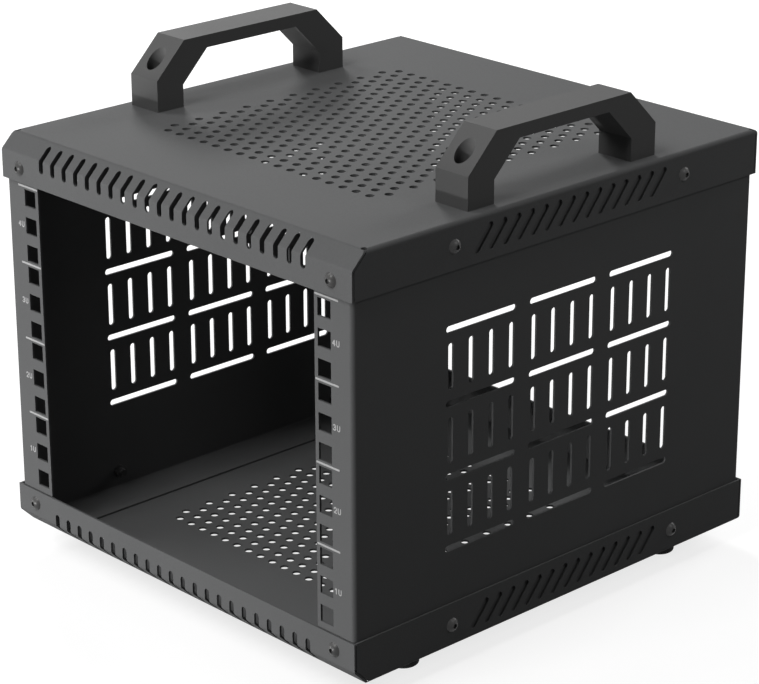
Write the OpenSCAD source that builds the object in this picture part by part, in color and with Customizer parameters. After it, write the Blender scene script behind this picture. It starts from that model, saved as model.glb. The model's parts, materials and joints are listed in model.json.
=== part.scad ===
// Open-frame desktop rack for ten-inch equipment: two folded side panels carry the rails,
// and a cover and a tray of one shape close them above and below.
// The origin is the middle of the footprint on the floor, +Z is up and the open front faces -Y.

/* [Rack standard] */
// Rack units between the cover and the tray
rack_units = 4; // [2:1:9]
// Height of one rack unit
unit_h = 44.45; // [43:0.05:50]
// Distance between the two columns of rail holes, centre to centre
hole_span = 236.525; // [234:0.005:242]
// Clear opening between the rails
rail_opening = 222.25; // [214:0.05:224]
// Side of one square rail hole
hole_side = 9.5; // [7:0.1:10]
// Height of the lowest hole of a unit above the unit's lower line
hole_edge = 6.35; // [5.5:0.05:7]
// Distance between the holes of one unit
hole_step = 15.875; // [14:0.005:16.5]

/* [Sheet] */
// Thickness of the steel sheet
sheet = 1.2; // [0.8:0.1:2]
// Inner radius of every fold
fold_r = 1.2; // [0.6:0.1:2]
// Gap between the side panels and the lips of the cover and the tray
fit_gap = 0.3; // [0.1:0.05:0.8]
// Width of the slits between neighbouring lips
seam = 0.4; // [0.2:0.1:0.8]

/* [Cover and tray] */
// Width of the rack
body_w = 280; // [272:1:320]
// Depth of the rack
body_d = 300; // [250:1:400]
// Height of the lips all round
cover_lip = 25; // [22:0.5:32]
// Height and depth of the sloped strip along the front edge
front_slope = 9; // [6:0.5:11]
// Room between the bay's last unit line and the nearest lip
bay_margin = 2.1; // [0.5:0.1:6]

/* [Front slots] */
// Slots that run over the front fold
front_slots = 22; // [6:1:22]
// Distance between the front slots
front_slot_pitch = 10; // [6:0.5:10]
// Width of a front slot
front_slot_w = 3.6; // [2:0.1:5]
// Depth of the slots' lower ends below the plate
front_slot_drop = 16; // [12:0.5:18]
// Depth of the slots' upper ends below the plate
front_slot_top = 2.1; // [2:0.1:4]

/* [Side slots] */
// Slanted slots in each side lip
side_slots = 14; // [4:1:14]
// Distance between the side slots
side_slot_pitch = 10; // [7:0.5:10.5]
// Length of a side slot from tip to tip
side_slot_l = 18; // [10:0.5:20]
// Width of a side slot
side_slot_w = 3.6; // [2:0.1:4.5]
// Slope of the side slots above the horizontal
side_slot_angle = 50; // [40:1:65]

/* [Perforation] */
// Diameter of one round hole
perf_d = 4.8; // [2:0.1:7]
// Distance between neighbouring holes
perf_pitch = 10; // [8:0.5:16]
// Width of the perforated field between hole centres
perf_field_w = 170; // [80:1:190]
// Depth of the perforated field between hole centres
perf_field_d = 174; // [80:1:200]

/* [Side vents] */
// Distance between the columns of vents
vent_col_pitch = 60; // [54:0.5:66]
// Distance between the rows of level vents
vent_row_pitch = 40; // [34:0.5:45]
// Plain wall that stays before and behind the vents, at least
vent_room_y = 50; // [30:1:80]
// Plain wall that stays above and below the vents, at least
vent_room_z = 20; // [10:1:40]
// Length of a level vent
vent_l = 50; // [36:0.5:52]
// Width of every vent
vent_w = 3.6; // [3:0.1:8]
// Length of an upright vent
vent_upright_l = 25; // [12:0.5:26]
// Upright vents in one group
vent_uprights = 4; // [2:1:5]
// Distance between the outermost upright vents of a group, centre to centre
vent_group_w = 43.5; // [36:0.5:46]

/* [Handles] */
// Length of a handle
handle_l = 139; // [120:1:170]
// Width of a handle
handle_w = 23; // [16:0.5:26]
// Height of a handle
handle_h = 38; // [34:0.5:60]
// Height of the upright part of a leg
handle_leg_h = 18; // [14:0.5:22]
// Thickness of a leg from front to back
handle_leg = 18.5; // [15:0.5:24]
// Thickness of the sloped part, square to the slope
handle_slope_t = 16.8; // [12:0.1:19]
// Thickness of the grip bar
handle_bar = 7.3; // [5:0.1:12]
// Distance from the cover's side to the handle
handle_inset = 7.2; // [4:0.1:12]
// Height of the screw seat inside a leg
handle_seat = 7; // [4:0.5:10]

/* [Feet] */
// Diameter of a foot where it meets the tray
foot_d = 19; // [12:0.5:26]
// Height of a foot
foot_h = 11.5; // [6:0.5:20]
// Narrowing of a foot towards the floor, on its radius
foot_taper = 1; // [0:0.1:2]
// Rounding of a foot's edges
foot_round = 1.5; // [0.5:0.1:3]
// Distance from the rack's side to a foot's centre
foot_inset_x = 21.3; // [16:0.1:40]
// Distance from the flat plate's end to a foot's centre
foot_inset_y = 45; // [20:0.5:70]

/* [Panel screws] */
// Thread diameter of the panel screws
screw_d = 4; // [3:0.5:5]
// Diameter of the domed head
screw_head_d = 8; // [7:0.1:10]
// Height of the domed head
screw_head_h = 2.4; // [1.6:0.1:3.5]
// Hexagon socket across its flats
screw_socket = 2.5; // [2:0.1:3]
// Distance between the two screws of a side lip
side_screw_pitch = 171; // [160:1:200]
// Diameter of a press-in nut
nut_d = 7.1; // [6.5:0.1:9]
// Height of a press-in nut
nut_h = 3; // [2:0.1:4.5]
// Radial room between a screw and the sheet that it passes
screw_room = 0.25; // [0.1:0.05:0.5]
// Radial room between a thread and its nut
thread_gap = 0.05; // [0.02:0.01:0.1]
// Length of thread that stands out of a nut
screw_end = 2.3; // [0.5:0.1:4]

/* [Handle screws] */
// Thread diameter of the handle screws
cap_screw_d = 6; // [4:0.5:6]
// Diameter of the cylindrical head
cap_head_d = 10; // [8:0.1:10.5]
// Height of the cylindrical head
cap_head_h = 6; // [4:0.5:8]
// Hexagon socket of the head across its flats
cap_socket = 5; // [3:0.1:6]
// Diameter of the bore above the head
cap_bore_d = 11; // [10.8:0.1:13]
// Hexagon nut across its flats
cap_nut_w = 10; // [9:0.1:13]
// Height of the hexagon nut
cap_nut_h = 5; // [3:0.1:7]

/* [Hidden] */
$fn = 48;

body_color = [0.30, 0.30, 0.31];
handle_color = [0.29, 0.29, 0.30];
screw_color = [0.16, 0.16, 0.17];
nut_color = [0.62, 0.62, 0.60];
rubber_color = [0.08, 0.08, 0.08];

// Length by which every cutter runs past the faces that it cuts
over = 1;
fold_out = fold_r + sheet;
// Radius of the round reliefs at the folds' ends, which reach a little way into the lips
relief_r = 1.25 * fold_r;
bay_h = rack_units * unit_h;
body_h = bay_h + 2 * bay_margin + 2 * cover_lip;
base_z = foot_h;
top_z = base_z + body_h;
middle_z = base_z + body_h / 2;
front_y = -body_d / 2;
rear_y = body_d / 2;
// Middle of the flat plate behind the sloped strip
plate_y = front_slope / 2;
plate_d = body_d - front_slope;

// Outer faces of the side panels inside the lips
wall_x = body_w / 2 - sheet - fit_gap;
rail_y = front_y + sheet + fit_gap;
back_y = rear_y - sheet - fit_gap;
panel_low = base_z + sheet;
panel_top = top_z - sheet;
lip_x = rail_opening / 2;
// Upright end of the rails, below the sloped strip
rail_end = front_slope + fold_out;
// Clearance of the panel's cut corner from the inside of the sloped strip, along the axes
slope_room = (sheet + fit_gap) * sqrt(2);

front_screw_x = (lip_x + wall_x) / 2;
front_screw_drop = (front_slope + cover_lip) / 2;
side_screw_drop = cover_lip / 2;
clear_d = screw_d + 2 * screw_room;
shank_l = 2 * sheet + fit_gap + nut_h + screw_end;

perf_row_step = perf_pitch * sqrt(3) / 2;
perf_half_rows = floor(perf_field_d / 2 / perf_row_step);
perf_cols = floor(perf_field_w / perf_pitch);

// Columns and rows of vents for which a side panel has room between the lips
vent_cols = max(1, floor((body_d - 2 * vent_room_y) / vent_col_pitch));
vent_rows = max(1, floor((body_h - 2 * cover_lip - 2 * vent_room_z - vent_w) / vent_row_pitch));
vent_upright_pitch = vent_group_w / (vent_uprights - 1);

handle_x = body_w / 2 - handle_inset - handle_w / 2;
handle_screw_y = handle_l / 2 - handle_leg / 2;
handle_run = handle_h - handle_leg_h;
// Drop of the inner slope below the outer one
handle_drop = handle_slope_t * sqrt(2);
cap_clear_d = cap_screw_d + 2 * screw_room;
cap_shank_l = handle_seat + 2 * sheet + cap_nut_h + screw_end;

foot_x = body_w / 2 - foot_inset_x;
foot_y = plate_d / 2 - foot_inset_y;

// Places of two things at equal distances from the middle
function pair(pitch) = [-pitch / 2, pitch / 2];

// Unit vector from one point towards another
function towards(from, to) = (to - from) / norm(to - from);

// Half of the angle at point b between its neighbours a and c
function half_angle(a, b, c) = acos(towards(b, a) * towards(b, c)) / 2;

// Centre of the arc that rounds corner b
function arc_centre(a, b, c, r) =
    let (inward = towards(b, a) + towards(b, c))
    b + inward / norm(inward) * r / sin(half_angle(a, b, c));

// Convex outline whose inner corners are rounded; its first and last corners stay sharp
module rounded_outline(points, r) {
    last = len(points) - 1;
    inner = [for (i = [1 : last - 1]) i];
    tangents = [
        for (i = inner)
            let (b = points[i], run = r / tan(half_angle(points[i - 1], b, points[i + 1])))
            for (other = [points[i - 1], points[i + 1]])
                b + towards(b, other) * run
    ];
    polygon(concat([points[0]], tangents, [points[last]]));
    for (i = inner)
        translate(arc_centre(points[i - 1], points[i], points[i + 1], r)) circle(r);
}

// Obround of a full length along X, centred
module obround(length, width) {
    square([length - width, width], center = true);
    for (x = pair(length - width)) translate([x, 0]) circle(d = width);
}

// Extrusion of a flat shape drawn in Y and Z, along X
module along_x(from, to) {
    translate([from, 0, 0]) rotate([90, 0, 90]) linear_extrude(to - from) children();
}

// Extrusion of a flat shape drawn in X and Z, along Y
module along_y(from, to) {
    translate([0, to, 0]) rotate([90, 0, 0]) linear_extrude(to - from) children();
}

// Outline of the cover in Y and Z, set in by a wall's thickness and run on below the lips
module cover_side(inset, extra) {
    low = -cover_lip - extra;
    fold = inset * tan(22.5);
    rounded_outline([
        [rear_y - inset, low],
        [rear_y - inset, -inset],
        [front_y + front_slope + fold, -inset],
        [front_y + inset, -front_slope - fold],
        [front_y + inset, low]
    ], fold_out - inset);
}

// Outline of the cover in X and Z, set in by a wall's thickness and run on below the lips
module cover_front(inset, extra) {
    low = -cover_lip - extra;
    half = body_w / 2 - inset;
    rounded_outline([[half, low], [half, -inset], [-half, -inset], [-half, low]], fold_out - inset);
}

// Closed block inside which the cover's outline lies
module cover_block(inset, extra) {
    intersection() {
        along_x(-body_w / 2 - over, body_w / 2 + over) cover_side(inset, extra);
        along_y(front_y - over, rear_y + over) cover_front(inset, extra);
    }
}

// Round holes in a staggered field, every second row one hole longer
module perforation() {
    for (row = [-perf_half_rows : perf_half_rows]) {
        short = (row % 2 == 0) ? 1 : 0;
        count = perf_cols + 1 - short;
        for (i = [0 : count - 1])
            translate([(i - (count - 1) / 2) * perf_pitch, row * perf_row_step]) circle(d = perf_d, $fn = 24);
    }
}

// Places across the front at which the slots lie
front_slot_x = [for (i = [0 : front_slots - 1]) (i - (front_slots - 1) / 2) * front_slot_pitch];

// Upright slots that start on the sloped strip and end on the front lip
module front_slot_cuts() {
    along_y(front_y - over, front_y + front_slope + over)
        for (x = front_slot_x)
            translate([x, -(front_slot_top + front_slot_drop) / 2])
                rotate(90) obround(front_slot_drop - front_slot_top, front_slot_w);
}

// Slanted slots of one side lip
module side_slot_cuts() {
    along_x(body_w / 2 - sheet - over, body_w / 2 + over)
        for (i = [0 : side_slots - 1])
            translate([plate_y + (i - (side_slots - 1) / 2) * side_slot_pitch, -side_screw_drop])
                rotate(side_slot_angle) obround(side_slot_l, side_slot_w);
}

// Slits that part the front and rear lips from one side lip, with round reliefs at the folds' ends
module corner_seams() {
    side = body_w / 2;
    from = side - fold_out;
    span = fold_out + over;
    translate([from, front_y + sheet, -cover_lip - over])
        cube([span, seam, cover_lip + over - front_slope]);
    translate([from, front_y, -front_slope]) rotate([45, 0, 0])
        translate([0, -sheet, -sheet - seam]) cube([span, front_slope * sqrt(2) + sheet, seam]);
    translate([from, rear_y - sheet - seam, -cover_lip - over])
        cube([span, seam, cover_lip + over - fold_out]);
    for (y = [front_y + front_slope + fold_out / 2, rear_y - fold_out])
        translate([from, y, -fold_out - over]) cylinder(r = relief_r, h = fold_out + 2 * over);
}

// Screw holes in the four lips of the cover
module cover_screw_holes() {
    along_y(front_y - over, front_y + sheet + over)
        for (x = pair(2 * front_screw_x)) translate([x, -front_screw_drop]) circle(d = clear_d);
    along_y(rear_y - sheet - over, rear_y + over)
        for (x = pair(2 * front_screw_x)) translate([x, -side_screw_drop]) circle(d = clear_d);
    for (side = [-1, 1])
        translate([side * body_w / 2, 0, 0]) along_x(-sheet - over, sheet + over)
            for (y = pair(side_screw_pitch)) translate([plate_y + y, -side_screw_drop]) circle(d = clear_d);
}

// Folded sheet that serves as cover and, turned over, as tray; its plate's outer face is at Z = 0
module folded_cover() {
    difference() {
        cover_block(0, 0);
        cover_block(sheet, over);
        translate([0, plate_y, -sheet - over]) linear_extrude(sheet + 2 * over) perforation();
        front_slot_cuts();
        side_slot_cuts();
        translate([0, 2 * plate_y, 0]) rotate(180) side_slot_cuts();
        corner_seams();
        mirror([1, 0, 0]) corner_seams();
        cover_screw_holes();
    }
}

module top_cover() {
    color(body_color)
        difference() {
            translate([0, 0, top_z]) folded_cover();
            for (x = pair(2 * handle_x))
                for (y = pair(2 * handle_screw_y))
                    translate([x, plate_y + y, top_z - sheet - over])
                        cylinder(d = cap_clear_d, h = sheet + 2 * over);
        }
}

module bottom_tray() {
    color(body_color) translate([0, 0, base_z]) rotate([0, 180, 0]) folded_cover();
}

// Outline of a side panel in X and Y, or in X and Z, set in by a wall's thickness
module panel_outline(low, high, inset, extra) {
    rounded_outline([
        [lip_x - extra, low + inset],
        [wall_x - inset, low + inset],
        [wall_x - inset, high - inset],
        [lip_x - extra, high - inset]
    ], fold_out - inset);
}

// Closed block inside which the panel's outline lies
module panel_block(inset, extra) {
    intersection() {
        translate([0, 0, panel_low - over]) linear_extrude(panel_top - panel_low + 2 * over)
            panel_outline(rail_y, back_y, inset, extra);
        along_y(rail_y - over, back_y + over) panel_outline(panel_low, panel_top, inset, extra);
    }
}

// Corners cut from the folded panel, so that its lips end before they meet; heights count down from the top
module panel_corner_cuts() {
    corner_y = rail_y + fold_out;
    strip_y = front_y + front_slope + fold_out;
    rear_stop = back_y - fold_out;
    relief = fold_out + sheet;
    polygon([
        [rail_y - over, -rail_end],
        [corner_y, -rail_end],
        [corner_y, corner_y - front_y - front_slope - slope_room],
        [front_y + front_slope + slope_room - sheet - fold_out, -sheet - fold_out],
        [strip_y, -sheet - fold_out],
        [strip_y, over],
        [rail_y - over, over]
    ]);
    polygon([
        [back_y + over, -sheet - relief],
        [rear_stop, -sheet - relief],
        [rear_stop, -sheet - fold_out],
        [back_y - relief, -sheet - fold_out],
        [back_y - relief, over],
        [back_y + over, over]
    ]);
}

// Vents of a side panel, drawn about their middle: level slots with groups of upright ones between them
module vents() {
    for (col = [0 : vent_cols - 1])
        translate([(col - (vent_cols - 1) / 2) * vent_col_pitch, 0]) {
            for (row = [0 : vent_rows])
                translate([0, (row - vent_rows / 2) * vent_row_pitch]) obround(vent_l, vent_w);
            for (row = [0 : vent_rows - 1])
                for (i = [0 : vent_uprights - 1])
                    translate([
                        (i - (vent_uprights - 1) / 2) * vent_upright_pitch,
                        (row - (vent_rows - 1) / 2) * vent_row_pitch
                    ]) rotate(90) obround(vent_upright_l, vent_w);
        }
}

// Heights of the rail holes above the middle of the bay
rail_hole_z = [
    for (unit = [0 : rack_units - 1])
        for (i = [0 : 2])
            unit * unit_h + hole_edge + i * hole_step - bay_h / 2
];

// Folded side panel with a rail along its front edge, on the +X side
module side_panel() {
    difference() {
        panel_block(0, 0);
        panel_block(sheet, over);
        for (flip = [0, 1])
            translate([0, 0, middle_z]) mirror([0, 0, flip]) translate([0, 0, body_h / 2])
                along_x(lip_x - over, wall_x + over) panel_corner_cuts();
        translate([0, 0, middle_z]) along_x(wall_x - sheet - over, wall_x + over) vents();
        translate([0, 0, middle_z]) along_y(rail_y - over, rail_y + sheet + over)
            for (z = rail_hole_z) translate([hole_span / 2, z]) square(hole_side, center = true);
        translate([0, 0, middle_z]) {
            along_y(rail_y - over, rail_y + sheet + over)
                for (z = pair(body_h - 2 * front_screw_drop))
                    translate([front_screw_x, z]) circle(d = clear_d);
            along_y(back_y - sheet - over, back_y + over)
                for (z = pair(body_h - 2 * side_screw_drop))
                    translate([front_screw_x, z]) circle(d = clear_d);
            along_x(wall_x - sheet - over, wall_x + over)
                for (z = pair(body_h - 2 * side_screw_drop))
                    for (y = pair(side_screw_pitch))
                        translate([plate_y + y, z]) circle(d = clear_d);
        }
        for (y = pair(2 * handle_screw_y))
            translate([handle_x, plate_y + y, panel_top - sheet - over])
                cylinder(d = cap_clear_d, h = sheet + 2 * over);
    }
}

module right_side_panel() {
    color(body_color) side_panel();
}

module left_side_panel() {
    color(body_color) mirror([1, 0, 0]) side_panel();
}

// Side view of a handle: upright legs, slopes at half a right angle and a level grip
module handle_side() {
    end = handle_l / 2;
    inner = end - handle_leg;
    grip_low = handle_h - handle_bar;
    rear_half = [
        [end - (grip_low - handle_leg_h + handle_drop), grip_low],
        [inner, handle_leg + handle_leg_h - handle_drop],
        [inner, 0],
        [end, 0],
        [end, handle_leg_h],
        [end - handle_run, handle_h]
    ];
    last = len(rear_half) - 1;
    front_half = [for (i = [last : -1 : 0]) [-rear_half[i][0], rear_half[i][1]]];
    polygon(concat(rear_half, front_half));
}

// Bridge handle with a vertical screw bore through each leg, at the place of its middle
module handle(x) {
    translate([x, plate_y, top_z])
        difference() {
            along_x(-handle_w / 2, handle_w / 2) handle_side();
            for (y = pair(2 * handle_screw_y))
                translate([0, y, 0]) {
                    translate([0, 0, -over]) cylinder(d = cap_clear_d, h = handle_seat + 2 * over);
                    translate([0, 0, handle_seat]) cylinder(d = cap_bore_d, h = handle_h);
                }
        }
}

module left_handle() {
    color(handle_color) handle(-handle_x);
}

module right_handle() {
    color(handle_color) handle(handle_x);
}

// Rubber foot that narrows towards the floor, with rounded edges
module foot(side, end) {
    top_r = foot_d / 2;
    low_r = top_r - foot_taper;
    translate([side * foot_x, plate_y + end * foot_y, 0])
        rotate_extrude()
            rounded_outline([[0, 0], [low_r, 0], [top_r, foot_h], [0, foot_h]], foot_round);
}

module front_left_foot() {
    color(rubber_color) foot(-1, -1);
}

module front_right_foot() {
    color(rubber_color) foot(1, -1);
}

module rear_left_foot() {
    color(rubber_color) foot(-1, 1);
}

module rear_right_foot() {
    color(rubber_color) foot(1, 1);
}

// Socket screw with a cylindrical head whose underside is at Z = 0
module cap_screw() {
    difference() {
        union() {
            cylinder(d = cap_head_d, h = cap_head_h);
            translate([0, 0, -cap_shank_l]) cylinder(d = cap_screw_d, h = cap_shank_l + cap_head_h / 2);
        }
        translate([0, 0, cap_head_h / 2]) cylinder(d = cap_socket / cos(30), h = cap_head_h, $fn = 6);
    }
}

// Hexagon nut with a plain bore, on top of Z = 0
module cap_nut() {
    difference() {
        cylinder(d = cap_nut_w / cos(30), h = cap_nut_h, $fn = 6);
        translate([0, 0, -over]) cylinder(d = cap_screw_d + 2 * thread_gap, h = cap_nut_h + 2 * over);
    }
}

module handle_screws(x) {
    for (y = pair(2 * handle_screw_y)) translate([x, plate_y + y, top_z + handle_seat]) cap_screw();
}

module handle_nuts(x) {
    for (y = pair(2 * handle_screw_y)) translate([x, plate_y + y, panel_top - sheet - cap_nut_h]) cap_nut();
}

module left_handle_screws() {
    color(screw_color) handle_screws(-handle_x);
}

module right_handle_screws() {
    color(screw_color) handle_screws(handle_x);
}

module left_handle_nuts() {
    color(nut_color) handle_nuts(-handle_x);
}

module right_handle_nuts() {
    color(nut_color) handle_nuts(handle_x);
}

// Screw with a domed socket head whose underside is at Z = 0
module dome_screw() {
    base_r = screw_head_d / 2;
    ball_r = (base_r * base_r + screw_head_h * screw_head_h) / (2 * screw_head_h);
    difference() {
        union() {
            rotate_extrude()
                intersection() {
                    translate([0, screw_head_h - ball_r]) circle(ball_r);
                    square([base_r + over, screw_head_h + over]);
                }
            translate([0, 0, -shank_l]) cylinder(d = screw_d, h = shank_l + screw_head_h / 4);
        }
        translate([0, 0, screw_head_h / 2]) cylinder(d = screw_socket / cos(30), h = screw_head_h, $fn = 6);
    }
}

// Two screws through the front lip at a height
module front_screws(z) {
    for (x = pair(2 * front_screw_x)) translate([x, front_y, z]) rotate([90, 0, 0]) dome_screw();
}

// Two screws through the rear lip at a height
module rear_screws(z) {
    for (x = pair(2 * front_screw_x)) translate([x, rear_y, z]) rotate([-90, 0, 0]) dome_screw();
}

// Two screws through one side lip at a height
module side_screws(side, z) {
    for (y = pair(side_screw_pitch))
        translate([side * body_w / 2, plate_y + y, z]) rotate([0, side * 90, 0]) dome_screw();
}

module top_front_screws() {
    color(screw_color) front_screws(top_z - front_screw_drop);
}

module top_rear_screws() {
    color(screw_color) rear_screws(top_z - side_screw_drop);
}

module top_left_screws() {
    color(screw_color) side_screws(-1, top_z - side_screw_drop);
}

module top_right_screws() {
    color(screw_color) side_screws(1, top_z - side_screw_drop);
}

module bottom_front_screws() {
    color(screw_color) front_screws(base_z + front_screw_drop);
}

module bottom_rear_screws() {
    color(screw_color) rear_screws(base_z + side_screw_drop);
}

module bottom_left_screws() {
    color(screw_color) side_screws(-1, base_z + side_screw_drop);
}

module bottom_right_screws() {
    color(screw_color) side_screws(1, base_z + side_screw_drop);
}

// Round press-in nut that stands on Z = 0
module press_nut() {
    difference() {
        cylinder(d = nut_d, h = nut_h);
        translate([0, 0, -over]) cylinder(d = screw_d + 2 * thread_gap, h = nut_h + 2 * over);
    }
}

// Nuts on the inner faces of one side panel, behind each panel screw
module panel_nuts(side) {
    for (z = pair(body_h - 2 * front_screw_drop))
        translate([side * front_screw_x, rail_y + sheet, middle_z + z]) rotate([-90, 0, 0]) press_nut();
    for (z = pair(body_h - 2 * side_screw_drop)) {
        translate([side * front_screw_x, back_y - sheet, middle_z + z]) rotate([90, 0, 0]) press_nut();
        for (y = pair(side_screw_pitch))
            translate([side * (wall_x - sheet), plate_y + y, middle_z + z]) rotate([0, -side * 90, 0]) press_nut();
    }
}

module left_panel_nuts() {
    color(nut_color) panel_nuts(-1);
}

module right_panel_nuts() {
    color(nut_color) panel_nuts(1);
}

top_cover();
bottom_tray();
left_side_panel();
right_side_panel();
left_handle();
right_handle();
front_left_foot();
front_right_foot();
rear_left_foot();
rear_right_foot();
left_handle_screws();
right_handle_screws();
left_handle_nuts();
right_handle_nuts();
top_front_screws();
top_rear_screws();
top_left_screws();
top_right_screws();
bottom_front_screws();
bottom_rear_screws();
bottom_left_screws();
bottom_right_screws();
left_panel_nuts();
right_panel_nuts();
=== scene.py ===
# %% [markdown]
# # A small open-frame rack, dressed for its picture
# The rack is a box of folded and powder-coated sheet steel with two carrying handles, rubber feet and
# square-hole rails. Its shape is finished in CAD, so this lesson loads those solids as a fixed frame and
# adds what CAD leaves out: the finishes, the printed unit marks on the rails and the threads of the screws.
# Everything is in metres, the front faces -Y and Z points up.

# %% Load the packed frame
import json
import math

import bpy
import numpy as np
from mathutils import Matrix, Vector


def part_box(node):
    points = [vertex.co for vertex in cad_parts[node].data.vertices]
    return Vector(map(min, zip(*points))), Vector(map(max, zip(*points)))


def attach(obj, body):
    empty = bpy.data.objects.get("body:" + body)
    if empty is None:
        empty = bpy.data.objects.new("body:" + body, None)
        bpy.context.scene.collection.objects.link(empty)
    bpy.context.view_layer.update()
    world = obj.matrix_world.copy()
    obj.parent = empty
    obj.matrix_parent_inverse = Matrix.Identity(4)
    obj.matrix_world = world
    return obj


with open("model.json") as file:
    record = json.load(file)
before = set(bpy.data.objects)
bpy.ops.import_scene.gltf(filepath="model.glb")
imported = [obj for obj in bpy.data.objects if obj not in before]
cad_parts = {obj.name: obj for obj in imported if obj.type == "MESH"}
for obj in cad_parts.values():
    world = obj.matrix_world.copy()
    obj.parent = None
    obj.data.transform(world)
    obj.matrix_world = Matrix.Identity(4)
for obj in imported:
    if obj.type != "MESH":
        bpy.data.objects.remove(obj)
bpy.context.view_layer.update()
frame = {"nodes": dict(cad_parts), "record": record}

scene = bpy.context.scene

# %% [markdown]
# ## The camera
# The picture was taken from the front right, a little above the rack, with a long lens. A camera can be
# turned by hand until it fits, but here its place is worked out: three right-angled directions, side, top
# and back, are the columns of its matrix. The lens keeps the perspective that a camera at this distance
# shows.

# %% Place the camera
TURN, RISE, TILT = np.radians([46.76, 20.88, -0.18])
AIM = np.array([0.0001, -0.0005, 0.1210])
DISTANCE = 1.5647
PICTURE_WIDTH = 759
LENS_IN_PIXELS = 2806.0

back = np.array([math.sin(TURN) * math.cos(RISE), -math.cos(TURN) * math.cos(RISE), math.sin(RISE)])
level = np.array([math.cos(TURN), math.sin(TURN), 0.0])
upright = np.cross(back, level)
side = level * math.cos(TILT) + upright * math.sin(TILT)
top = upright * math.cos(TILT) - level * math.sin(TILT)

lens = bpy.data.cameras.new("camera")
lens.sensor_width = 36.0
lens.lens = lens.sensor_width * LENS_IN_PIXELS / PICTURE_WIDTH
lens.clip_end = 50.0
camera = bpy.data.objects.new("camera", lens)
columns = np.column_stack([side, top, back, AIM + DISTANCE * back])
camera.matrix_world = Matrix(np.vstack([columns, [0.0, 0.0, 0.0, 1.0]]).tolist())
scene.collection.objects.link(camera)
scene.camera = camera
scene.view_settings.view_transform = "Standard"
print("camera at", [round(x, 3) for x in camera.location], "lens", round(lens.lens, 1), "mm")

# %% [markdown]
# ## Shader sums in Python
# A finish is a small network of nodes. Wiring it by hand hides the idea, so one class wraps an output
# socket: plus, minus, times and power on it add Math nodes, and the method node adds any other kind.
# Settings go in first, because some of them change which sockets a node has.

# %% A socket that can be added and multiplied
class Value:
    """An output socket in a node tree. Arithmetic on it adds Math nodes to the same tree."""

    def __init__(self, tree, socket=None):
        self.tree = tree
        self.socket = socket

    def node(self, kind, settings=None, inputs=None, output=0):
        """Adds a node of this kind, its settings first, then the values or links of its input sockets."""
        made = self.tree.nodes.new(kind)
        for name, setting in (settings or {}).items():
            setattr(made, name, setting)
        for key, given in (inputs or {}).items():
            if isinstance(given, Value):
                self.tree.links.new(given.socket, made.inputs[key])
            else:
                made.inputs[key].default_value = given
        return Value(self.tree, made.outputs[output] if len(made.outputs) else None)

    def math(self, operation, first, second):
        return self.node("ShaderNodeMath", {"operation": operation}, {0: first, 1: second})

    def __add__(self, other):
        return self.math("ADD", self, other)

    def __radd__(self, other):
        return self.math("ADD", other, self)

    def __sub__(self, other):
        return self.math("SUBTRACT", self, other)

    def __rsub__(self, other):
        return self.math("SUBTRACT", other, self)

    def __mul__(self, other):
        return self.math("MULTIPLY", self, other)

    def __rmul__(self, other):
        return self.math("MULTIPLY", other, self)

    def __pow__(self, other):
        return self.math("POWER", self, other)


reflected = [name for name in vars(Value) if name.startswith("__r")]
print("sums that also work with the number first:", reflected)

# %% [markdown]
# ## Words for the finishes
# Every finish on the rack needs the same few things: clouds of noise, a colour between two greys, grain that
# catches the light, and an end that hands the shader to the material. Each gets a short word here. All
# patterns are laid out in the object's own metres, so they stay on the piece whatever the camera does.

# %% Noise, blend, bump and the last node
def grey(level, warmth=0.0):
    """A colour that is nearly grey: warmth lifts red and lowers blue by that share."""
    return (level * (1 + warmth), level, level * (1 - warmth), 1.0)


def new_finish(name):
    """An empty material, the Value that starts its node tree and the Value of the object's own metres."""
    material = bpy.data.materials.new(name)
    material.use_nodes = True
    material.node_tree.nodes.clear()
    start = Value(material.node_tree)
    return material, start, start.node("ShaderNodeTexCoord", output="Object")


def noise(place, scale, detail):
    """Clouds from 0 to 1, about scale of them in a metre, with this many layers of finer clouds."""
    return place.node("ShaderNodeTexNoise", None, {"Vector": place, "Scale": scale, "Detail": detail})


def blend(share, first, second):
    """A colour between two: the first where the share is 0, the second where it is 1.

    In a colour Mix, input 0 is the share, inputs 6 and 7 are the colours, and output 2 is the result.
    """
    return share.node("ShaderNodeMix", {"data_type": "RGBA"}, {0: share, 6: first, 7: second}, 2)


def bump(height, depth):
    """A normal that follows a height, where 1 stands depth metres above 0."""
    return height.node("ShaderNodeBump", None, {"Strength": 1.0, "Distance": depth, "Height": height})


def show(start, surface):
    """Ends a node tree: the surface goes to the material's output."""
    start.node("ShaderNodeOutputMaterial", None, {"Surface": surface})


def coat(start, sockets):
    """Ends a node tree with the main shader, its sockets given by name."""
    show(start, start.node("ShaderNodeBsdfPrincipled", None, sockets))


print("a middle grey is", grey(0.5))

# %% [markdown]
# ## The floor
# The rack stands on a plain pale floor. A single large square would do, but rings round the rack keep small
# faces under it and large ones far away, and no edge shows in any view.

# %% Lay the floor
FLOOR_RINGS = np.array([0.05, 0.6, 2.0, 9.0])
FLOOR_POINTS = 96
FLOOR_DROP = 0.0002


def floor_disc():
    """Points on rings round the origin: ring r and angle a give (r cos a, r sin a) just below the feet."""
    radius = FLOOR_RINGS[:, None]
    angle = np.linspace(0.0, 2 * np.pi, FLOOR_POINTS, endpoint=False)[None, :]
    depth = np.full((len(FLOOR_RINGS), FLOOR_POINTS), -FLOOR_DROP)
    return np.stack([radius * np.cos(angle), radius * np.sin(angle), depth], axis=-1)


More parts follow.
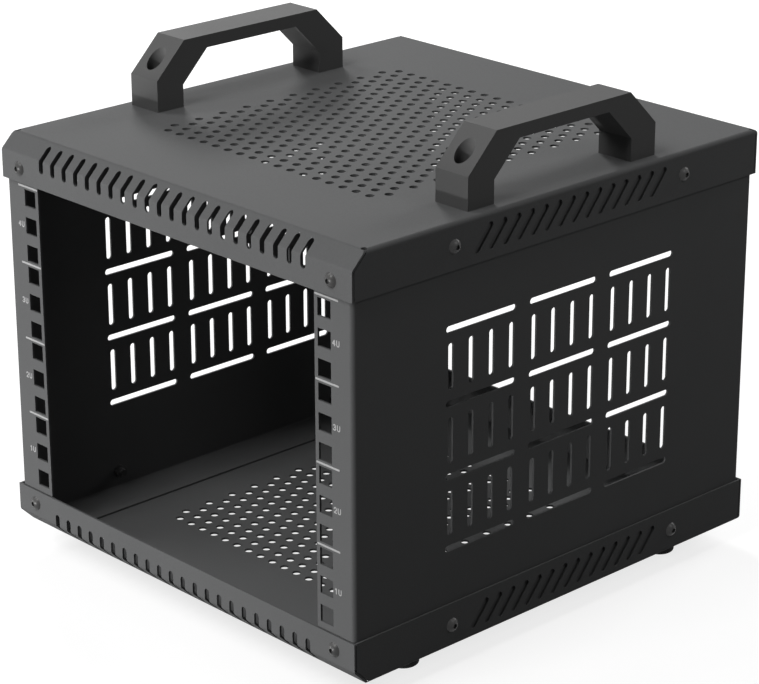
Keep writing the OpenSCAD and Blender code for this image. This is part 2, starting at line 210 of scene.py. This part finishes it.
def ring_faces(rows, columns):
    """Faces between rings: place j of ring i joins place j+1 and ring i+1, and the last joins the first."""
    ring, place = np.meshgrid(np.arange(rows - 1), np.arange(columns), indexing="ij")
    after = (place + 1) % columns
    corners = [ring * columns + place, ring * columns + after,
               (ring + 1) * columns + after, (ring + 1) * columns + place]
    return np.stack(corners, axis=-1).reshape(-1, 4)


disc = floor_disc()
floor_faces = ring_faces(*disc.shape[:2])[:, ::-1].tolist() + [list(range(FLOOR_POINTS))]
floor_mesh = bpy.data.meshes.new("floor")
floor_mesh.from_pydata(disc.reshape(-1, 3).tolist(), [], floor_faces)
floor = bpy.data.objects.new("floor", floor_mesh)
scene.collection.objects.link(floor)
normals = np.empty(3 * len(floor_mesh.polygons))
floor_mesh.polygons.foreach_get("normal", normals)
print("floor", len(floor_faces), "faces, share that faces up:", np.mean(normals[2::3] > 0))

# %% [markdown]
# ## A white floor
# The studio is white. Brighter lamps would make the floor white and spoil the rack, so the Light Path node
# does it: rays from the camera, and rays mirrored in metal, see a floor that glows nearly white, while light
# that bounces on to the rack comes from a plain grey one. A part of what the camera sees stays ordinary
# paint, and so the rack keeps a soft shadow. From below, the floor is see-through.

# %% Paint the floor
FLOOR_GLOW = 0.78
BOUNCE_GREY = 0.15


def seen_by_eye(start):
    """1 for rays that leave the camera or a mirror, 0 for light that spreads from surface to surface."""
    kinds = ("Is Camera Ray", "Is Glossy Ray", "Is Transmission Ray")
    eye, glossy, through = (start.node("ShaderNodeLightPath", output=kind) for kind in kinds)
    return eye + glossy + through


floor_paint, start, place = new_finish("floor_paint")
tint = blend(noise(place, 3.0, 3.0), grey(0.32), grey(0.36))
glow = start.node("ShaderNodeEmission", None, {"Color": grey(1.0), "Strength": FLOOR_GLOW})
paint = start.node("ShaderNodeBsdfDiffuse", None, {"Color": tint})
bright = start.node("ShaderNodeAddShader", None, {0: glow, 1: paint})
plain = start.node("ShaderNodeBsdfDiffuse", None, {"Color": grey(BOUNCE_GREY)})
upper = start.node("ShaderNodeMixShader", None, {0: seen_by_eye(start), 1: plain, 2: bright})
under = start.node("ShaderNodeBsdfTransparent")
behind = start.node("ShaderNodeNewGeometry", output="Backfacing")
show(start, start.node("ShaderNodeMixShader", None, {0: behind, 1: upper, 2: under}))
floor_mesh.materials.append(floor_paint)
print("floor paint:", len(floor_paint.node_tree.nodes), "nodes")

# %% [markdown]
# ## A white room
# Round the rack there is only white. A painted wall could stand there, but its edges would show and it would
# throw light back, so the world itself is white to the eye, in the way of the floor. It gives nearly no
# light of its own.

# %% Paint the room
ROOM_LIGHT = 0.01

room = bpy.data.worlds.new("room")
room.use_nodes = True
room.node_tree.nodes.clear()
scene.world = room
start = Value(room.node_tree)
white = start.node("ShaderNodeBackground", None, {"Color": grey(1.0), "Strength": 1.0})
dim = start.node("ShaderNodeBackground", None, {"Color": grey(1.0), "Strength": ROOM_LIGHT})
mixed = start.node("ShaderNodeMixShader", None, {0: seen_by_eye(start), 1: dim, 2: white})
start.node("ShaderNodeOutputWorld", None, {"Surface": mixed})
print("room light", ROOM_LIGHT)

# %% [markdown]
# ## The lamps
# The cover and the front are about equally bright, the sloped strip between them is a little darker, and the
# right side is nearly black. A single lamp high above the front would do the opposite: it would light that
# strip most. In a studio a white table throws light up at the front, and a long lamp near the floor stands
# for it here. It can't reach the handles, so their front faces stay darker. A small lamp straight ahead
# lights what faces the front and leaves the rear lips and the handles' rear legs in shadow. A left lamp from
# behind throws the handle's shadow over the cover, and the others fill in. A lamp that lights a white card
# to level 1 from distance d has (pi d) squared watts, whatever its shape, so each lamp is given by a level.

# %% Hang the lamps
RACK_MIDDLE = Vector((0.0, 0.0, 0.13))
LAMPS = {
    # name: turn and height in degrees, then distance, width and height of the lamp in metres, and its level
    "table_lamp": (-30.0, -6.3, 0.95, 0.90, 0.05, 0.60),
    "low_lamp": (-1.0, -2.2, 2.60, 0.08, 0.04, 0.34),
    "front_lamp": (0.0, 50.0, 2.60, 0.90, 0.90, 0.42),
    "high_lamp": (-60.0, 50.0, 2.60, 0.90, 0.90, 0.28),
    "left_lamp": (-120.0, 25.0, 2.60, 0.60, 0.60, 0.68),
    "back_lamp": (180.0, 25.0, 2.60, 0.90, 0.90, 0.38),
    "right_lamp": (108.0, 38.0, 1.00, 0.40, 0.40, 0.135),
}


def hang_lamp(name, turn, height, distance, width, tall, level):
    """A flat lamp on a sphere round the rack, facing the rack's middle."""
    turn, height = math.radians(turn), math.radians(height)
    out = Vector((math.sin(turn) * math.cos(height), -math.cos(turn) * math.cos(height), math.sin(height)))
    lamp = bpy.data.lights.new(name, "AREA")
    lamp.shape = "RECTANGLE"
    lamp.size = width
    lamp.size_y = tall
    lamp.energy = level * (math.pi * distance) ** 2
    holder = bpy.data.objects.new(name, lamp)
    holder.location = RACK_MIDDLE + distance * out
    holder.rotation_euler = (-out).to_track_quat("-Z", "Y").to_euler()
    holder.visible_camera = False
    scene.collection.objects.link(holder)
    return lamp


for name, numbers in LAMPS.items():
    print(name, round(hang_lamp(name, *numbers).energy, 1), "W")

# %% [markdown]
# ## Powder coat
# The sheets are sprayed with dry powder that melts in an oven. The coat is matt and graphite grey, with fine
# pebbles where the powder flowed together and a gentle orange peel between them. A picture of the paint
# would need unwrapped sheets, so the pebbles are cells of a Voronoi pattern and the peel is noise, both in
# the object's own metres. The coat is a little smoother where a slow cloud says that more powder fell.

# %% Mix the powder coat
def pebbled_coat(name, dark, light, pebbles_a_metre, depth, rough, gloss):
    """A grainy matt coat: height is 0.55 pebbles + 0.45 peel, colour and roughness drift with a cloud."""
    finish, start, place = new_finish(name)
    pebble = start.node("ShaderNodeTexVoronoi", {"feature": "SMOOTH_F1"},
                        {"Vector": place, "Scale": pebbles_a_metre, "Smoothness": 0.7})
    peel = noise(place, 0.4 * pebbles_a_metre, 2.0)
    cloud = noise(place, 16.0, 3.0)
    coat(start, {
        "Base Color": blend(0.6 * cloud + 0.4 * (1 - pebble), dark, light),
        "Roughness": rough + 0.12 * (cloud - 0.5) + 0.06 * (pebble - 0.5),
        "Normal": bump(0.55 * (1 - pebble) + 0.45 * peel, depth),
        "Specular IOR Level": gloss,
    })
    return finish


powder_coat = pebbled_coat("powder_coat", grey(0.088, -0.01), grey(0.116, -0.01),
                           pebbles_a_metre=1700.0, depth=0.00006, rough=0.75, gloss=0.03)
print("powder coat:", len(powder_coat.node_tree.nodes), "nodes")

# %% [markdown]
# ## Handle plastic
# The handles are moulded in a spark-eroded tool, which leaves a finer and shallower grain than paint has. It
# is the same recipe with smaller cells, so the two materials differ only under a close look, as they do on
# the desk.

# %% Mix the handle plastic
handle_plastic = pebbled_coat("handle_plastic", grey(0.084), grey(0.108),
                              pebbles_a_metre=2600.0, depth=0.00003, rough=0.70, gloss=0.04)
print("handle plastic:", len(handle_plastic.node_tree.nodes), "nodes")

# %% [markdown]
# ## Rubber feet
# The feet are black rubber. Rubber scatters nearly all light, and talc and dust leave pale clouds on it. It
# could share the coat's recipe, but dust follows no pebbles, so noise of two sizes mixes black with dusty
# grey.

# %% Mix the rubber
foot_rubber, start, place = new_finish("foot_rubber")
dust = noise(place, 160.0, 5.0)
grain = noise(place, 2400.0, 2.0)
coat(start, {
    "Base Color": blend(dust ** 2.0, grey(0.016), grey(0.05)),
    "Roughness": 0.78 + 0.14 * dust,
    "Normal": bump(grain, 0.00003),
    "Specular IOR Level": 0.2,
})
print("rubber:", len(foot_rubber.node_tree.nodes), "nodes")

# %% [markdown]
# ## Black screws
# The screws are steel under a thick black oxide. It covers the metal so well that it shades mostly like dull
# paint: a dome takes the light on one flank and is dark on the other, and that is what shows of a screw from
# afar. A small share of metal keeps its highlight. Oxide is never even: a slow noise moves it from
# blue-black to brown-black, and fine noise breaks the gloss.

# %% Mix the black oxide
black_oxide, start, place = new_finish("black_oxide")
patch = noise(place, 240.0, 3.0)
speck = noise(place, 4200.0, 2.0)
coat(start, {
    "Base Color": blend(patch, grey(0.050, -0.02), grey(0.080, 0.02)),
    "Roughness": 0.24 + 0.12 * patch + 0.08 * speck,
    "Normal": bump(speck, 0.000003),
    "Metallic": 0.3,
    "Specular IOR Level": 0.1,
})
print("black oxide:", len(black_oxide.node_tree.nodes), "nodes")

# %% [markdown]
# ## Zinc nuts
# The nuts inside are zinc plated. Their deep grey is painted shade: bright zinc made as dark as the dim
# inside of the box where they sit. Small crystal patches of the plate keep a tone and a gloss of their own,
# so Voronoi cells give each patch one value.

# %% Mix the zinc
zinc, start, place = new_finish("zinc")
crystal = start.node("ShaderNodeTexVoronoi", None, {"Vector": place, "Scale": 900.0}, "Color")
shade = start.node("ShaderNodeSeparateColor", None, {"Color": crystal}, "Red")
scratch = noise(place, 3000.0, 3.0)
coat(start, {
    # The deep grey here is painted shade: the zinc is darkened to the dim inside of the box.
    "Base Color": blend(shade, grey(0.055, -0.02), grey(0.095, 0.02)),
    "Roughness": 0.42 + 0.12 * shade + 0.08 * scratch,
    "Normal": bump(scratch, 0.000006),
    "Metallic": 1.0,
})
print("zinc:", len(zinc.node_tree.nodes), "nodes")

# %% [markdown]
# ## Dressing the CAD nodes
# The packed record says which finish each node has. Every node has one material slot, so it is enough to put
# the new material there; the meshes stay as CAD made them.

# %% Put the finishes on
FINISHES = {
    "powder_coat": powder_coat,
    "handle_plastic": handle_plastic,
    "foot_rubber": foot_rubber,
    "black_screw": black_oxide,
    "zinc_nut": zinc,
}

for part in frame["record"]["subparts"]:
    node = frame["nodes"][part["node"]]
    node.data.materials.clear()
    node.data.materials.append(FINISHES[part["material_slot"]])
    print(part["node"], "has", part["material_slot"])

# %% [markdown]
# ## Strokes of paint
# The rails carry printed marks. Print is a thin raised layer of ink, so each stroke is a flat tube: a low
# ellipse carried along a line on the rail, with half-round ends. A curve with a bevel would have flat ends,
# so the rings are worked out here: the line is resampled to even steps, and the ellipse shrinks along a
# quarter circle past each end.

# %% A stroke along a line
CAP_RINGS = 5
RING_POINTS = 12
STEP_SHARE = 0.35
TIP_SHARE = 0.02


def stroke(corners, width, thick, face):
    """A flat tube along a line on a face that looks to -Y.

    The centre runs along the corners in even steps and goes on straight by half a width at both ends. Each
    ring is an ellipse: half the width times the cosine across the line, the thickness times the sine out of
    the face. Past an end, a ring shrinks with the root of one minus the overrun squared.
    """
    corners = np.asarray(corners, float)
    legs = np.hypot(*np.diff(corners, axis=0).T)
    reach = np.concatenate([[0.0], np.cumsum(legs)])
    half = width / 2
    body = np.linspace(0.0, reach[-1], max(2, int(reach[-1] / (STEP_SHARE * width)) + 2))
    cap = half * np.sin(np.linspace(0.0, np.pi / 2, CAP_RINGS + 1)[1:])
    walk = np.concatenate([-cap[::-1], body, reach[-1] + cap])
    kept = np.clip(walk, 0.0, reach[-1])
    centre = np.stack([np.interp(kept, reach, corners[:, k]) for k in (0, 1)], axis=-1)
    run = np.gradient(centre[CAP_RINGS:-CAP_RINGS], axis=0)
    run = run / np.linalg.norm(run, axis=1, keepdims=True)
    run = np.pad(run, ((CAP_RINGS, CAP_RINGS), (0, 0)), "edge")
    centre = centre + (walk - kept)[:, None] * run
    shrink = np.sqrt(np.clip(1.0 - ((walk - kept) / half) ** 2, TIP_SHARE ** 2, 1.0))[:, None]
    angle = np.linspace(0.0, 2 * np.pi, RING_POINTS, endpoint=False)[None, :]
    across = shrink * half * np.cos(angle)
    out = shrink * thick * np.sin(angle)
    x = centre[:, :1] - run[:, 1:] * across
    z = centre[:, 1:] + run[:, :1] * across
    return np.stack([x, face - out, z], axis=-1)


print("a stroke of 10 by 1 mm has", stroke([[0.0, 0.0], [0.01, 0.0]], 0.001, 0.0001, 0.0).shape[0], "rings")

# %% [markdown]
# ## From tubes to a piece
# One function joins any number of tubes to one mesh, with a cap on each end. A tube that was wound the other
# way round has its inside out, and the sign of its volume tells, so its faces are turned. The piece keeps
# its place in its mesh and rides on the rack's only body.

# %% Join tubes to a piece
def volume(points, faces):
    """Six times the room inside a tube: the sum over triangles of a . (b x c), without its tiny ends."""
    quads = points[faces]
    a, b, c, d = (quads[:, k] for k in range(4))
    return np.sum(a * np.cross(b, c)) + np.sum(a * np.cross(c, d))


def tube_faces(tube, first):
    """Faces of a closed tube whose points count from first: quads between rings and a cap on each end."""
    rows, columns = tube.shape[:2]
    quads = ring_faces(rows, columns)
    caps = np.stack([np.arange(columns)[::-1], np.arange(columns) + (rows - 1) * columns])
    if volume(tube.reshape(-1, 3), quads) < 0:
        quads, caps = quads[:, ::-1], caps[:, ::-1]
    return (quads + first).tolist() + (caps + first).tolist()


def add_piece(name, tubes, finish):
    """Joins closed tubes of rings to one mesh with outward faces, and lets it ride on the rack."""
    points = np.concatenate([tube.reshape(-1, 3) for tube in tubes])
    counts = np.array([tube.shape[0] * tube.shape[1] for tube in tubes])
    firsts = np.cumsum(counts) - counts
    faces = sum((tube_faces(tube, first) for tube, first in zip(tubes, firsts)), [])
    mesh = bpy.data.meshes.new(name)
    mesh.from_pydata(points.tolist(), [], faces)
    mesh.polygons.foreach_set("use_smooth", np.ones(len(mesh.polygons), bool))
    mesh.materials.append(finish)
    piece = bpy.data.objects.new(name, mesh)
    scene.collection.objects.link(piece)
    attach(piece, "root")
    print(name, len(tubes), "tubes,", len(faces), "faces")


print("a ring of", RING_POINTS, "points makes", len(ring_faces(2, RING_POINTS)), "faces to the next")

# %% [markdown]
# ## The unit marks
# A rack counts its height in units, and each rail shows where one unit ends and the next begins: a line
# across the rail, and a small number with the letter U beside the middle hole. The numbers run from the
# bottom up. Blender's text could write them, but print on metal has strokes of one width, so the letters are
# drawn from lines and arcs in a box one high, and can be set at any size.

# %% Draw the letters
ARC_POINTS = 14


def arc(middle, radii, first, last):
    """Points on an ellipse between two angles in degrees: the middle plus (cos, sin) times the radii."""
    angle = np.radians(np.linspace(first, last, ARC_POINTS))
    return np.asarray(middle) + np.asarray(radii) * np.stack([np.cos(angle), np.sin(angle)], axis=-1)


LETTERS = {
    "1": [np.array([[0.12, 0.78], [0.38, 1.0], [0.38, 0.0]])],
    "2": [np.concatenate([arc((0.3, 0.7), (0.3, 0.3), 170, -35), [[0.0, 0.0], [0.62, 0.0]]])],
    "3": [arc((0.27, 0.75), (0.27, 0.25), 150, -90), arc((0.27, 0.26), (0.32, 0.26), 90, -150)],
    "4": [np.array([[0.62, 0.28], [0.0, 0.28], [0.46, 1.0], [0.46, 0.0]])],
    "U": [np.concatenate([[[0.0, 1.0]], arc((0.31, 0.3), (0.31, 0.3), 180, 360), [[0.62, 1.0]]])],
}
print(len(LETTERS), "letters")

# %% [markdown]
# ## The ink
# The marks are screen printed in pale grey. The mesh of the screen lets more ink through in some places than
# in others. One flat colour would look like a sticker, so fine noise thins the ink and breaks its gloss.

# %% Mix the ink
ink, start, place = new_finish("rail_ink")
thin = noise(place, 1500.0, 3.0)
coat(start, {
    "Base Color": blend(thin, grey(0.26), grey(0.42)),
    "Roughness": 0.55 + 0.2 * thin,
    "Specular IOR Level": 0.2,
})
print("ink:", len(ink.node_tree.nodes), "nodes")

# %% [markdown]
# ## Printing the rails
# Both rails carry the same marks, mirrored in place but not in writing. The boxes of the two side panels
# tell where the rails are, so the print follows if the rack's width changes.

# %% Print the marks on both rails
UNIT, MIDDLE_HOLE = 0.04445, 0.022225
UNITS = 4
LINE_WIDTH, INK_THICK = 0.0011, 0.00003
LINE_NEAR, LINE_LENGTH = 0.0009, 0.0160
LETTER_HIGH, LETTER_STEP, LETTER_WIDTH = 0.0028, 0.0029, 0.00065
LABEL_OUT, LABEL_HALF = 0.0158, 0.9


def rail_marks(inner, outward, middle, face):
    """Lines at the top of each unit and labels beside its middle hole, on the rail that starts at inner."""
    ends = inner + outward * np.array([LINE_NEAR, LINE_NEAR + LINE_LENGTH])
    label = inner + outward * LABEL_OUT - LABEL_HALF * LETTER_STEP
    tubes = []
    for number in range(1, UNITS + 1):
        base = middle + (number - 1 - UNITS / 2) * UNIT
        line = np.stack([ends, np.full(2, base + UNIT)], axis=-1)
        tubes.append(stroke(line, LINE_WIDTH, INK_THICK, face))
        for k, letter in enumerate(f"{number}U"):
            corner = np.array([label + k * LETTER_STEP, base + MIDDLE_HOLE - LETTER_HIGH / 2])
            for curve in LETTERS[letter]:
                tubes.append(stroke(corner + LETTER_HIGH * curve, LETTER_WIDTH, INK_THICK, face))
    return tubes


low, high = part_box("right_side_panel")
add_piece("right_rail_print", rail_marks(low.x, 1, (low.z + high.z) / 2, low.y), ink)
low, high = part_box("left_side_panel")
add_piece("left_rail_print", rail_marks(high.x, -1, (low.z + high.z) / 2, low.y), ink)

# %% [markdown]
# ## The thread's ridge
# A screw's thread shows only where its end stands out of the nut. CAD keeps a plain shank there, so a ridge
# is wound round it: a small trapezium carried along a helix, which fades to nothing at both ends. The Screw
# modifier could turn a profile too, but it can't fade. The sunk foot of the ridge hides in the shank.

# %% A ridge along a helix
RIDGE = 0.00012
STEPS_A_TURN = 28
FOOT_SUNK, FOOT_HALF, FOOT_LEAST = 0.4, 0.46, 0.3
CREST_HALF = 0.10
SLANT = (0.3, 0.5, 0.8)


def ridge(end, axis, shank, pitch, length):
    """A helical ridge that ends at a screw's end, wound about its axis.

    At angle t the foot is at the shank's radius times (cos t, sin t) and pitch t / 2 pi along the axis. The
    profile has two feet sunk in the shank and two crests a ridge high. Over half a turn at each end its
    height fades to nearly nothing and its width to the least foot. Angle 0 lies square to the slant.
    """
    turns = length / pitch
    t = np.linspace(0.0, 2 * np.pi * turns, int(STEPS_A_TURN * turns))[:, None]
    fade = np.clip(np.minimum(t, t[-1] - t) / np.pi, TIP_SHARE, 1.0)
    rise = np.array([-FOOT_SUNK, 1.0, 1.0, -FOOT_SUNK]) * RIDGE * fade
    width = pitch * np.clip(fade, FOOT_LEAST, 1.0)
    slide = np.array([-FOOT_HALF, -CREST_HALF, CREST_HALF, FOOT_HALF]) * width
    axis = np.asarray(axis, float)
    first = np.cross(axis, SLANT)
    first = first / np.linalg.norm(first)
    second = np.cross(axis, first)
    around = np.cos(t)[..., None] * first + np.sin(t)[..., None] * second
    along = (pitch * t / (2 * np.pi) + slide - length - FOOT_HALF * pitch)[..., None] * axis
    return np.asarray(end, float) + (shank + rise)[..., None] * around + along


print("a ridge rises", round(1000 * RIDGE, 2), "mm above its shank")

# %% [markdown]
# ## Threads on every screw
# Each side of the cover and of the tray has two small screws, and each handle has two large ones. Where a
# shank ends comes from the box of its node, because two equal screws fill that box from head to head.

# %% Wind the threads
SMALL_SHANK, SMALL_PITCH = 0.0020, 0.0007
LARGE_SHANK, LARGE_PITCH = 0.0030, 0.0010
THREAD_LONG = 0.0021
INWARD = {"front": (0, 1, 0), "rear": (0, -1, 0), "left": (1, 0, 0), "right": (-1, 0, 0)}
DOWN = (0, 0, -1)


def screw_ends(node, axis):
    """The two points where the shanks of a node's screws end, seen along the axis from head to end."""
    low, high = (np.array(corner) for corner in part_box(node))
    along = int(np.argmax(np.abs(axis)))
    others = [k for k in (0, 1, 2) if k != along]
    row = max(others, key=lambda k: high[k] - low[k])
    head = min(high[k] - low[k] for k in others) / 2
    ends = np.stack([(low + high) / 2] * 2)
    ends[:, along] = high[along] if axis[along] > 0 else low[along]
    ends[:, row] = low[row] + head, high[row] - head
    return ends


for sheet in ("top", "bottom"):
    for edge, axis in INWARD.items():
        ends = screw_ends(f"{sheet}_{edge}_screws", axis)
        tubes = [ridge(end, axis, SMALL_SHANK, SMALL_PITCH, THREAD_LONG) for end in ends]
        add_piece(f"{sheet}_{edge}_threads", tubes, black_oxide)
for edge in ("left", "right"):
    ends = screw_ends(f"{edge}_handle_screws", DOWN)
    tubes = [ridge(end, DOWN, LARGE_SHANK, LARGE_PITCH, THREAD_LONG) for end in ends]
    add_piece(f"{edge}_handle_threads", tubes, black_oxide)

# %% [markdown]
# ## The size, once more
# Looks must not change the rack's size.
